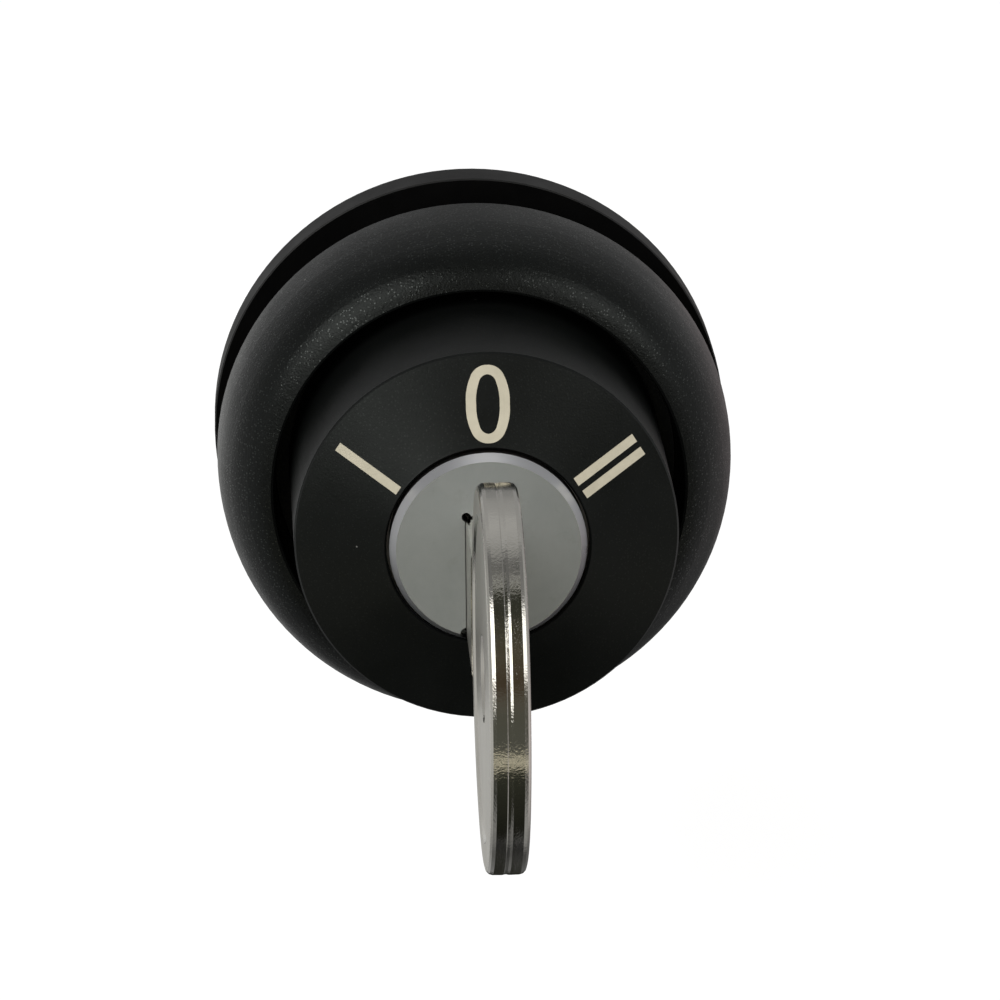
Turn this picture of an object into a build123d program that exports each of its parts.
from build123d import *
import os
from math import pi, sin, cos

os.makedirs("parts", exist_ok=True)

# Key-operated selector switch, three maintained positions, for a round 22.5 mm panel hole.
# Frame: X right, Y into the panel, Z up. Origin on the switch axis, in the panel's front plane,
# which is the back face of the gasket. Millimetres. Rest pose: key inserted, upright at 0.
# The front of a piece is its -Y end. Profiles about the switch axis are (radius, y) corners.

# ---------------------------------------------------------------- shared dimensions
TURN = 60.0               # degrees each way
STOPS = (-TURN, 0, TURN)
GASKET_T = 2.6

SLEEVE_R = 7.0
SLEEVE_Y0, SLEEVE_Y1 = -23.60, -7.80
SLEEVE_SEAT_R = SLEEVE_R + 0.05     # housing and collar bores around the sleeve
NOTCH_HALF = 0.8          # alignment notch at the top of housing and sleeve
NOTCH_Y = -12.4

HUB_R = 9.25              # front hub of the housing, inside the collar
COLLAR_GROOVE_Y = -11.9, -10.8      # O-ring groove in the hub
LOCK_GROOVE_Y = -21.7, -20.4        # O-ring groove in the collar bore

PLUG_R = 5.30
PLUG_END_Y = -6.40
CLIP_Y0, CLIP_Y1 = -7.70, -7.10
CLIP_GROOVE_R = 4.6
TAIL_R = 2.5              # plug tail that turns the drum
TAIL_FLAT = 1.9           # flats at this distance from the axis

KEY_T = 2.2               # stem and blade thickness
KEY_X = -0.15             # the key sits a little left of the switch axis
KEY_TOP, KEY_LOW = 1.9, -5.2      # stem height range
BLADE_LOW = -3.5          # lower edge of the blade past the stem
STEM_END_Y = -23.30
BLADE_END_Y = -8.80

WAFER_T = 1.1
WAFER_PITCH = 2.5
WAFER_FIRST_Y = -21.2
WAFER_COUNT = 5
WAFER_HALF = 2.1
EAR_X = 3.6               # tip of the side ear that rests under the spring
wafer_y = [WAFER_FIRST_Y + i * WAFER_PITCH for i in range(WAFER_COUNT)]
wafer_side = [1 if i % 2 == 0 else -1 for i in range(WAFER_COUNT)]    # ears alternate

DRUM_Y0, DRUM_Y1 = -6.3, 7.2
FOLLOWER_Y = 2.6
PLUNGER_HALF = 1.8
SCREW_Z = 8.3             # guide screws above and below the axis
DETENT_Y = -4.45


# ---------------------------------------------------------------- helpers
def turned(*points, arc=360):
    """Piece turned about the switch axis from (radius, y) corners."""
    line = Polyline(*[(radius, y, 0) for radius, y in points], close=True)
    return revolve(make_face(line), axis=Axis.Y, revolution_arc=arc)


def rod(radius, y0, y1, x=0.0, z=0.0):
    """Cylinder parallel to the switch axis."""
    return Pos(x, (y0 + y1) / 2, z) * Rot(90, 0, 0) * Cylinder(radius, y1 - y0)


def tube(r_out, r_in, y0, y1):
    return turned((r_in, y0), (r_out, y0), (r_out, y1), (r_in, y1))


def block(x0, x1, y0, y1, z0, z1):
    return Pos((x0 + x1) / 2, (y0 + y1) / 2, (z0 + z1) / 2) * Box(x1 - x0, y1 - y0, z1 - z0)


def side_block(side, x0, x1, *rest):
    """Block at x0..x1 on the right (side 1) or mirrored to the left (side -1)."""
    return block(*sorted((side * x0, side * x1)), *rest)


def detent_rod(radius, z, height):
    """Vertical cylinder on the detent's line, centred at height z."""
    return Pos(0, DETENT_Y, z) * Cylinder(radius, height)


def about_y(shape, degrees):
    """Right-hand turn about +Y: clockwise as seen from the front."""
    return shape.rotate(Axis.Y, degrees)


def arcs(points):
    """Chain of circular arcs, each through three of the points in turn."""
    return [ThreePointArc(*points[i:i + 3]) for i in range(0, len(points) - 2, 2)]


def helix_sweep(section, path):
    """Section swept along a helix, placed square to its start."""
    start = Plane(origin=path @ 0, z_dir=path % 0, x_dir=(1, 0, 0))
    return sweep(start * section, path=path, is_frenet=True)


def coil(r_mid, wire_r, length, turns):
    """Spring wire along +Z from z = 0, with its bounding height equal to length."""
    rise = length - 2 * wire_r
    path = Helix(pitch=rise / turns, height=rise, radius=r_mid)
    return Pos(0, 0, wire_r) * helix_sweep(Circle(wire_r), path)


def one(shape):
    """The largest solid of a shape."""
    return sorted(shape.solids(), key=lambda solid: -solid.volume)[0]


def save(shape, name):
    shape.label = name
    export_step(shape, "parts/" + name + ".step")


# ---------------------------------------------------------------- gasket
GASKET_R = 15.0
GASKET_BORE_R = 10.85

panel_gasket = turned(
    (GASKET_BORE_R, 0), (12.5, 0), (12.7, -0.35), (13.1, -0.35), (13.3, 0),
    (GASKET_R - 0.25, 0), (GASKET_R, -0.25), (GASKET_R, -GASKET_T + 0.08),
    (GASKET_R - 0.08, -GASKET_T), (GASKET_BORE_R, -GASKET_T))
save(panel_gasket, "panel_gasket")

# ---------------------------------------------------------------- housing
SEAT_R = 10.8             # barrel under the gasket
BARREL_R = 11.15          # threadless barrel that passes the panel hole
BARREL_END = 12.0         # back end of the barrel
NECK_R = 12.2             # neck between gasket and bezel
NECK_Y = -6.42
SHOULDER_R, SHOULDER_Y = 11.5, -9.6
HUB_Y = -12.5             # front of the hub
HUB_GROOVE_R = 8.28
BORE_R = 9.6              # chamber behind the panel
DRUM_BORE_R = 7.35        # chamber that carries the cam drum
DRUM_BORE_Y0, DRUM_BORE_Y1 = -7.0, -1.5
LIP_R = 6.6               # lip behind the lock sleeve
BOSS_R = 1.6
BOSS_HOLE_R = 0.78
BAYONET_R0, BAYONET_R1 = 10.45, 11.6
BAYONET_Y = 9.0
TRACK_W = 1.6
TRACK_ARC = 24            # degrees
ENTRY_HALF = 1.3

body_housing = turned(
    (SLEEVE_SEAT_R, HUB_Y), (HUB_R - 0.2, HUB_Y), (HUB_R, HUB_Y + 0.2),
    (HUB_R, COLLAR_GROOVE_Y[0]), (HUB_GROOVE_R, COLLAR_GROOVE_Y[0]),
    (HUB_GROOVE_R, COLLAR_GROOVE_Y[1]), (HUB_R, COLLAR_GROOVE_Y[1]),
    (HUB_R, SHOULDER_Y), (SHOULDER_R, SHOULDER_Y), (SHOULDER_R, NECK_Y), (NECK_R, NECK_Y),
    (NECK_R, -GASKET_T - 0.02), (SEAT_R, -GASKET_T - 0.02), (SEAT_R, 0), (BARREL_R, 0),
    (BARREL_R, BARREL_END - 0.4), (BARREL_R - 0.4, BARREL_END), (BORE_R, BARREL_END),
    (BORE_R, DRUM_BORE_Y1), (DRUM_BORE_R, DRUM_BORE_Y1), (DRUM_BORE_R, DRUM_BORE_Y0),
    (LIP_R, DRUM_BORE_Y0), (LIP_R, SLEEVE_Y1 + 0.02), (SLEEVE_SEAT_R, SLEEVE_Y1 + 0.02))
# bosses for the two guide screws
for side in (-1, 1):
    boss = rod(BOSS_R, 7.7, 9.95, 0, side * SCREW_Z) & rod(BARREL_R - 0.3, 7.0, 11.0)
    body_housing = body_housing + boss
    body_housing = body_housing - rod(BOSS_HOLE_R, 7.0, 10.5, 0, side * SCREW_Z)
# bayonet entries and tracks, recessed near the back end of the barrel
for angle in (0, 180):
    entry = block(BAYONET_R0, BAYONET_R1, BAYONET_Y, BARREL_END + 0.5, -ENTRY_HALF, ENTRY_HALF)
    track = turned((BAYONET_R0, BAYONET_Y), (BAYONET_R1, BAYONET_Y),
                   (BAYONET_R1, BAYONET_Y + TRACK_W), (BAYONET_R0, BAYONET_Y + TRACK_W),
                   arc=TRACK_ARC)
    body_housing = body_housing - about_y(entry, angle) - about_y(track, angle)
# radial pocket for the detent, from below
body_housing = body_housing - detent_rod(0.97, -9.9, 5.4)
# flat-topped alignment notch in the front of the hub
body_housing = body_housing - block(-NOTCH_HALF, NOTCH_HALF, -13.0, NOTCH_Y, 6.8, 8.1)
save(one(body_housing), "body_housing")

# ---------------------------------------------------------------- bezel
BEZEL_R = 14.85           # widest point of the bezel
BEZEL_R_Y = -7.41
BEZEL_FRONT_Y = -14.80
BEZEL_DEPTH = 7.484       # widest point to the front of the full curve
BEZEL_IN = 4.0            # how far the full curve pulls in
BEZEL_SHAPE = 2.5         # exponent of the rounded face
BEZEL_STOP = 1.3930       # the face stops here, still sloping (radians)
BEZEL_BACK_IN, BEZEL_BACK_DEPTH = 2.45, 0.94
BEZEL_BORE_R = 11.55
FACE_STEPS, BACK_STEPS = 8, 4

front_curve = []
for i in range(FACE_STEPS + 1):
    angle = i / FACE_STEPS * BEZEL_STOP
    across = cos(angle) ** (2 / BEZEL_SHAPE)
    forward = sin(angle) ** (2 / BEZEL_SHAPE)
    front_curve.append((BEZEL_R - BEZEL_IN * (1 - across), BEZEL_R_Y - BEZEL_DEPTH * forward))
back_curve = []
for i in range(BACK_STEPS + 1):
    angle = i / BACK_STEPS * pi / 2
    back_curve.append((BEZEL_R - BEZEL_BACK_IN * (1 - cos(angle)),
                       BEZEL_R_Y + BEZEL_BACK_DEPTH * sin(angle)))
bore_line = Polyline(
    front_curve[-1], (11.72, BEZEL_FRONT_Y + 0.06), (11.66, BEZEL_FRONT_Y + 0.22),
    (BEZEL_BORE_R, -13.4), (BEZEL_BORE_R, BEZEL_R_Y + BEZEL_BACK_DEPTH), back_curve[-1])
bezel_face = make_face([*arcs(front_curve), *arcs(back_curve), bore_line])
save(revolve(bezel_face, axis=Axis.Y), "front_bezel")

# ---------------------------------------------------------------- dial collar
COLLAR_R = 10.65          # edge of the dial face
COLLAR_SKIRT_R = 10.75
COLLAR_EDGE_Y = -23.0
COLLAR_BACK_Y = -9.65
COLLAR_STEP_Y = -12.7     # bottom of the counterbore over the hub
COLLAR_RISE = 1.65        # how far the dial face rises to the lock
COLLAR_BORE_R = 5.6
LOCK_GROOVE_R = 8.15


def cone_y(radius):
    """Dial face at a radius: a shallow cone that rises towards the lock."""
    return COLLAR_EDGE_Y - COLLAR_RISE * (COLLAR_R - radius) / (COLLAR_R - COLLAR_BORE_R)


dial_collar = turned(
    (COLLAR_BORE_R + 0.12, cone_y(COLLAR_BORE_R + 0.12)), (COLLAR_R - 0.1, cone_y(COLLAR_R - 0.1)),
    (COLLAR_R, COLLAR_EDGE_Y + 0.1), (COLLAR_SKIRT_R, COLLAR_BACK_Y),
    (HUB_R + 0.05, COLLAR_BACK_Y), (HUB_R + 0.05, COLLAR_STEP_Y), (SLEEVE_SEAT_R, COLLAR_STEP_Y),
    (SLEEVE_SEAT_R, LOCK_GROOVE_Y[1]), (LOCK_GROOVE_R, LOCK_GROOVE_Y[1]),
    (LOCK_GROOVE_R, LOCK_GROOVE_Y[0]), (SLEEVE_SEAT_R, LOCK_GROOVE_Y[0]),
    (SLEEVE_SEAT_R, SLEEVE_Y0 - 0.03), (COLLAR_BORE_R, SLEEVE_Y0 - 0.03),
    (COLLAR_BORE_R, cone_y(COLLAR_BORE_R) + 0.16))

# ---------------------------------------------------------------- dial marks
MARK_ONE_ANGLE, MARK_TWO_ANGLE = -55.8, 57.8
MARK_STROKE = 0.51
MARK_DEEP, MARK_PROUD = 0.25, 0.03
MARK_R0, MARK_R1 = 5.7, 10.5
PAIR_X = 0.435            # each bar of the pair from its centre line

# thin conical skin that carries the dial marks
skin = turned((MARK_R0, cone_y(MARK_R0) - MARK_PROUD), (MARK_R1, cone_y(MARK_R1) - MARK_PROUD),
              (MARK_R1, cone_y(MARK_R1) + MARK_DEEP), (MARK_R0, cone_y(MARK_R0) + MARK_DEEP))


def through(sketch):
    """Prism along Y over the dial face from a sketch drawn with x right and y up."""
    plane = Plane(origin=(0, -20, 0), x_dir=(1, 0, 0), z_dir=(0, -1, 0))
    return extrude(plane * sketch, amount=8)


def oval(half_w, half_h, shape):
    """Closed oval of circular arcs through a superellipse."""
    points = []
    for i in range(16):
        angle = i / 16 * 2 * pi
        across, up = cos(angle), sin(angle)
        points.append((half_w * abs(across) ** (2 / shape) * (1 if across > 0 else -1),
                       half_h * abs(up) ** (2 / shape) * (1 if up > 0 else -1)))
    return make_face(arcs(points + points[:1]))


zero_ring = Pos(0.08, 7.97) * (oval(1.20, 2.035, 2.35) - oval(0.645, 1.555, 2.25))
bar = Pos(0, 7.88) * Rectangle(MARK_STROKE, 3.94)
bar_pair = (Pos(-PAIR_X, 7.96) * Rectangle(MARK_STROKE, 3.90)
            + Pos(PAIR_X, 7.96) * Rectangle(MARK_STROKE, 3.88))
mark_zero = one(through(zero_ring) & skin)
mark_one = one(about_y(through(bar), MARK_ONE_ANGLE) & skin)
pair_marks = about_y(through(bar_pair), MARK_TWO_ANGLE) & skin
for mark in (mark_zero, mark_one, *pair_marks.solids()):
    dial_collar = dial_collar - mark
save(one(dial_collar), "dial_collar")
save(mark_zero, "mark_zero")
save(mark_one, "mark_one")
save(Compound(children=list(pair_marks.solids())), "mark_two")

# ---------------------------------------------------------------- seals
for name, ring_r, groove_y, cord_r in (("lock_oring", 7.58, LOCK_GROOVE_Y, 0.54),
                                       ("collar_oring", 8.78, COLLAR_GROOVE_Y, 0.48)):
    save(revolve(Pos(ring_r, sum(groove_y) / 2) * Circle(cord_r), axis=Axis.Y), name)

# ---------------------------------------------------------------- lock sleeve
SLEEVE_BORE_R = 5.35

lock_sleeve = tube(SLEEVE_R, SLEEVE_BORE_R, SLEEVE_Y0, SLEEVE_Y1)
# lengthwise channels in the bore, one for each key position
for angle in STOPS:
    channel = block(-1.75, 1.75, SLEEVE_Y0 + 1.0, SLEEVE_Y1 + 1, -6.15, -4.5)
    lock_sleeve = lock_sleeve - about_y(channel, angle)
lock_sleeve = lock_sleeve - block(-NOTCH_HALF, NOTCH_HALF, NOTCH_Y, SLEEVE_Y1 + 1, 6.5, 7.5)
save(one(lock_sleeve), "lock_sleeve")

# ---------------------------------------------------------------- lock plug
FACE_Y = -25.30           # front face of the lock plug
FACE_R = 5.1
PLUG_HEAD_R = 5.45
PLUG_HEAD_Y = -24.72
TAIL_END_Y = -1.5
SLOT_X = -0.10            # the keyway is also left of the axis
SLOT_GAP = 0.1            # clearance around the key

lock_plug = turned(
    (0, FACE_Y), (FACE_R, FACE_Y), (PLUG_HEAD_R, PLUG_HEAD_Y), (PLUG_HEAD_R, SLEEVE_Y0 - 0.05),
    (PLUG_R, SLEEVE_Y0 - 0.05), (PLUG_R, CLIP_Y0 - 0.05), (CLIP_GROOVE_R, CLIP_Y0 - 0.05),
    (CLIP_GROOVE_R, CLIP_Y1 + 0.05), (PLUG_R, CLIP_Y1 + 0.05), (PLUG_R, PLUG_END_Y),
    (TAIL_R, PLUG_END_Y), (TAIL_R, TAIL_END_Y), (0, TAIL_END_Y))
for side in (1, -1):
    lock_plug = lock_plug - side_block(side, TAIL_FLAT, 4, PLUG_END_Y, 0, -4, 4)
# keyway: tall slot for the stem at the face, shorter slot for the blade behind it
slot = (SLOT_X - KEY_T / 2 - SLOT_GAP, SLOT_X + KEY_T / 2 + SLOT_GAP)
slot_top = KEY_TOP + SLOT_GAP
lock_plug = lock_plug - block(*slot, FACE_Y - 1, STEM_END_Y + 0.1, KEY_LOW - SLOT_GAP, slot_top)
lock_plug = lock_plug - block(*slot, FACE_Y, BLADE_END_Y + 0.4, BLADE_LOW - SLOT_GAP, slot_top)
# relief holes at the ends of the keyway in the face
for radius, z in ((0.26, KEY_TOP + 0.05), (0.40, -4.85)):
    lock_plug = lock_plug - rod(radius, FACE_Y - 1, FACE_Y + 1.2, slot[0] + 0.08, z)
# slots for the wafers, with side pockets for their ears and springs
slot_half = WAFER_T / 2 + 0.05
pocket_half = WAFER_T / 2 + 0.1
for y, side in zip(wafer_y, wafer_side):
    lock_plug = lock_plug - block(-WAFER_HALF - 0.05, WAFER_HALF + 0.05,
                                  y - slot_half, y + slot_half, -6, 6)
    lock_plug = lock_plug - side_block(side, WAFER_HALF, EAR_X + 0.1,
                                       y - pocket_half, y + pocket_half, -2.35, 2.65)
# hole for the cam screw
lock_plug = lock_plug - rod(0.9, -5.5, 0)
save(one(lock_plug), "lock_plug")

# ---------------------------------------------------------------- wafers and their springs
WAFER_END_R = 5.2
WAFER_TRAVEL = 0.6
WAFER_GAP = 0.12          # clearance around the blade
FOOT_HALF = 1.5           # narrower lower end
EAR_Z0, EAR_Z1 = -1.6, -0.8
SPRING_X = 2.93


def make_wafer(y, side):
    thick = (y - WAFER_T / 2, y + WAFER_T / 2)
    wafer = (block(-WAFER_HALF, WAFER_HALF, *thick, -4.15, 6)
             + block(-FOOT_HALF, FOOT_HALF, *thick, -6, -4.0))
    wafer = wafer & rod(WAFER_END_R, y - 2, y + 2)
    wafer = wafer + side_block(side, WAFER_HALF - 0.3, EAR_X, *thick, EAR_Z0, EAR_Z1)
    half = KEY_T / 2 + WAFER_GAP
    return one(wafer - block(KEY_X - half, KEY_X + half, y - 2, y + 2,
                             BLADE_LOW - WAFER_GAP, KEY_TOP + WAFER_TRAVEL + WAFER_GAP))


for i, (y, side) in enumerate(zip(wafer_y, wafer_side), start=1):
    save(make_wafer(y, side), "wafer_%d" % i)
    spring = Pos(side * SPRING_X, y, EAR_Z1 + 0.02) * coil(0.42, 0.1, 3.36, 6)
    save(one(spring), "wafer_spring_%d" % i)

# ---------------------------------------------------------------- retaining clip
plug_clip = tube(6.3, CLIP_GROOVE_R + 0.05, CLIP_Y0, CLIP_Y1)
plug_clip = plug_clip - block(-2.4, 2.4, -8, -6.8, 1.0, 7.0)    # open at the top
save(one(plug_clip), "plug_clip")

# ---------------------------------------------------------------- key
BOW_R = 10.25
BOW_Y, BOW_Z = -40.4, -1.86
BOW_HOLE_R = 2.1
BOW_HALF = 2.1 / 2
KEY_HALF = KEY_T / 2
CUT_DEPTHS = (0.55, 0.95, 0.35, 0.8, 0.6)    # at the wafers, front to back
CUT_HALF = 0.35           # half the flat bottom of a cut

# the bow is a coin-like disc with a raised rim, a ring hole and a faint groove along its edge
bow_profile = [           # (radius, x)
    (BOW_HOLE_R, -BOW_HALF + 0.30), (BOW_HOLE_R + 0.22, -BOW_HALF + 0.12),
    (8.35, -BOW_HALF + 0.12), (8.6, -BOW_HALF), (9.88, -BOW_HALF), (10.06, -BOW_HALF + 0.05),
    (10.18, -BOW_HALF + 0.16), (10.24, -BOW_HALF + 0.34), (BOW_R, -0.28), (BOW_R, -0.17),
    (10.23, -0.125), (10.215, 0.02), (BOW_R, 0.15), (BOW_R, 0.28), (10.24, BOW_HALF - 0.34),
    (10.18, BOW_HALF - 0.16), (10.06, BOW_HALF - 0.05), (9.88, BOW_HALF), (8.6, BOW_HALF),
    (8.35, BOW_HALF - 0.12), (BOW_HOLE_R + 0.22, BOW_HALF - 0.12), (BOW_HOLE_R, BOW_HALF - 0.30)]
bow_line = Polyline(*[(x, radius, 0) for radius, x in bow_profile], close=True)
bow = Pos(0, BOW_Y, BOW_Z) * revolve(make_face(bow_line), axis=Axis.X)
stem = block(-KEY_HALF, KEY_HALF, BOW_Y + 8.0, STEM_END_Y, KEY_LOW, KEY_TOP)
stem = fillet(stem.edges().filter_by(Axis.Y), 0.25)
stem = stem - (Pos(0, BOW_Y, BOW_Z) * Rot(0, 90, 0) * Cylinder(9.6, 6))
blade = block(-KEY_HALF, KEY_HALF, STEM_END_Y - 0.5, BLADE_END_Y, BLADE_LOW, KEY_TOP)
blade = chamfer(blade.edges().filter_by(Axis.X).sort_by(Axis.Y)[-2:], 1.1)
key = bow + stem + blade
for y, depth in zip(wafer_y, CUT_DEPTHS):
    cut = Polyline((0, y - CUT_HALF - depth, KEY_TOP + 0.01), (0, y - CUT_HALF, KEY_TOP - depth),
                   (0, y + CUT_HALF, KEY_TOP - depth), (0, y + CUT_HALF + depth, KEY_TOP + 0.01),
                   close=True)
    key = key - extrude(make_face(cut), amount=2, both=True)
# long groove milled in the right side of the blade and a shallower one in the left
groove_y = (STEM_END_Y + 0.4, BLADE_END_Y + 1)
key = key - block(0.55, 2, *groove_y, -1.9, -0.5)
key = key - block(-2, -0.8, *groove_y, -2.9, -2.0)
save(one(Pos(KEY_X, 0, 0) * key), "key")

# ---------------------------------------------------------------- cam drum
DRUM_R = 7.2
DRUM_CUP_R = 4.9          # hollow open to the back
WEB_Y0, WEB_Y1 = -1.45, -1.35       # thin web under the screw head
PLUNGER_STROKE = 2.4      # at 60 degrees
GROOVE_W = 1.9
GROOVE_R = 6.0            # bottom of the groove
GROOVE_MID_R = 6.85
GROOVE_PITCH = PLUNGER_STROKE * 360 / TURN
GROOVE_SWEEP = 2 * (TURN + 8.5)

tail_bore_r = TAIL_R + 0.05
cam_drum = turned(
    (tail_bore_r, DRUM_Y0), (6.9, DRUM_Y0), (DRUM_R, DRUM_Y0 + 0.3), (DRUM_R, DRUM_Y1),
    (DRUM_CUP_R, DRUM_Y1), (DRUM_CUP_R, WEB_Y1), (1.05, WEB_Y1), (1.05, WEB_Y0),
    (tail_bore_r, WEB_Y0))
flats = block(TAIL_FLAT + 0.05, 3.4, DRUM_Y0, -1.4, -3, 3) & rod(TAIL_R + 0.3, DRUM_Y0, -1.4)
cam_drum = cam_drum + flats + about_y(flats, 180)


def cam_groove(left_handed):
    """Helical groove centred on +X at the follower's height, along the switch axis."""
    rise = GROOVE_PITCH * GROOVE_SWEEP / 360
    path = Helix(pitch=GROOVE_PITCH, height=rise, radius=GROOVE_MID_R, lefthand=left_handed)
    groove = helix_sweep(Rectangle(2 * (GROOVE_MID_R - GROOVE_R), GROOVE_W), path)
    groove = Pos(0, 0, -rise / 2) * groove
    groove = groove.rotate(Axis.Z, (1 if left_handed else -1) * GROOVE_SWEEP / 2)
    return Pos(0, FOLLOWER_Y, 0) * Rot(-90, 0, 0) * groove


# the right plunger moves back for a clockwise turn, the left one for an anticlockwise turn
cam_drum = cam_drum - cam_groove(True) - about_y(cam_groove(False), 180)
# detent notches
for angle in STOPS:
    cam_drum = cam_drum - about_y(rod(1.0, DRUM_Y0 - 1, -2.6, 0, -7.55), angle)
save(one(cam_drum), "cam_drum")

# cross-slotted screw that holds the drum on the plug
cam_screw = rod(0.85, -5.2, -1.3) + rod(2.1, -1.32, 0.1)
cam_screw = chamfer(cam_screw.edges().sort_by(Axis.Y)[-1:], 0.25)
cam_screw = cam_screw - block(-0.3, 0.3, -0.5, 1, -1.6, 1.6) - block(-1.6, 1.6, -0.5, 1, -0.3, 0.3)
save(one(cam_screw), "cam_screw")

# ---------------------------------------------------------------- plungers
FOLLOWER_R = 0.8
FOLLOWER_X0, FOLLOWER_X1 = 6.1, 7.6

plunger = block(7.35, 9.25, 1.2, 13.6, -PLUNGER_HALF, PLUNGER_HALF)
plunger = chamfer(plunger.faces().sort_by(Axis.Y)[-1].edges(), 0.35)
follower = Rot(0, 90, 0) * Cylinder(FOLLOWER_R, FOLLOWER_X1 - FOLLOWER_X0)
plunger = plunger + Pos((FOLLOWER_X0 + FOLLOWER_X1) / 2, FOLLOWER_Y, 0) * follower
save(one(plunger), "plunger_right")
save(one(about_y(plunger, 180)), "plunger_left")

# ---------------------------------------------------------------- guide and its screws
GUIDE_Y0, GUIDE_Y1 = 10.0, 12.0
GUIDE_R, GUIDE_BORE_R = 9.55, 3.0
WINDOW_HALF = PLUNGER_HALF + 0.15
SCREW_HEAD_Y = 11.3

plunger_guide = turned((GUIDE_BORE_R, GUIDE_Y0), (GUIDE_R, GUIDE_Y0), (GUIDE_R, GUIDE_Y1 - 0.3),
                       (GUIDE_R - 0.3, GUIDE_Y1), (GUIDE_BORE_R, GUIDE_Y1))
screws = []
for side in (-1, 1):
    z = side * SCREW_Z
    window = side_block(side, 7.2, 10.5, 9, 13, -WINDOW_HALF, WINDOW_HALF)
    plunger_guide = plunger_guide - window
    plunger_guide = plunger_guide - rod(0.98, 9, 13, 0, z) - rod(1.0, SCREW_HEAD_Y, 13, 0, z)
    screw = rod(0.75, 7.9, SCREW_HEAD_Y + 0.05, 0, z) + rod(0.97, SCREW_HEAD_Y, GUIDE_Y1, 0, z)
    screws.append(one(screw - block(-0.8, 0.8, 11.7, 13, z - 0.16, z + 0.16)))
save(one(plunger_guide), "plunger_guide")
save(Compound(children=screws), "guide_screws")

# ---------------------------------------------------------------- detent
DETENT_R = 0.9
DETENT_TIP = 7.27         # tip radius when lifted clear of the drum
PIN_END = 9.35            # outer end of the pin, from the axis

ball = DETENT_TIP + DETENT_R        # centre of the round tip, from the axis
detent_pin = detent_rod(DETENT_R, -(ball + PIN_END) / 2, PIN_END - ball)
detent_pin = detent_pin + Pos(0, DETENT_Y, -ball) * Sphere(DETENT_R)
save(one(detent_pin), "detent_pin")
save(one(Pos(0, DETENT_Y, -11.18) * coil(0.66, 0.13, 1.80, 3)), "detent_spring")
# slotted cap that closes the pocket
detent_cap = detent_rod(0.95, -11.66, 0.86) - Pos(0, DETENT_Y, -12.1) * Box(1.3, 0.26, 0.7)
save(one(detent_cap), "detent_cap")
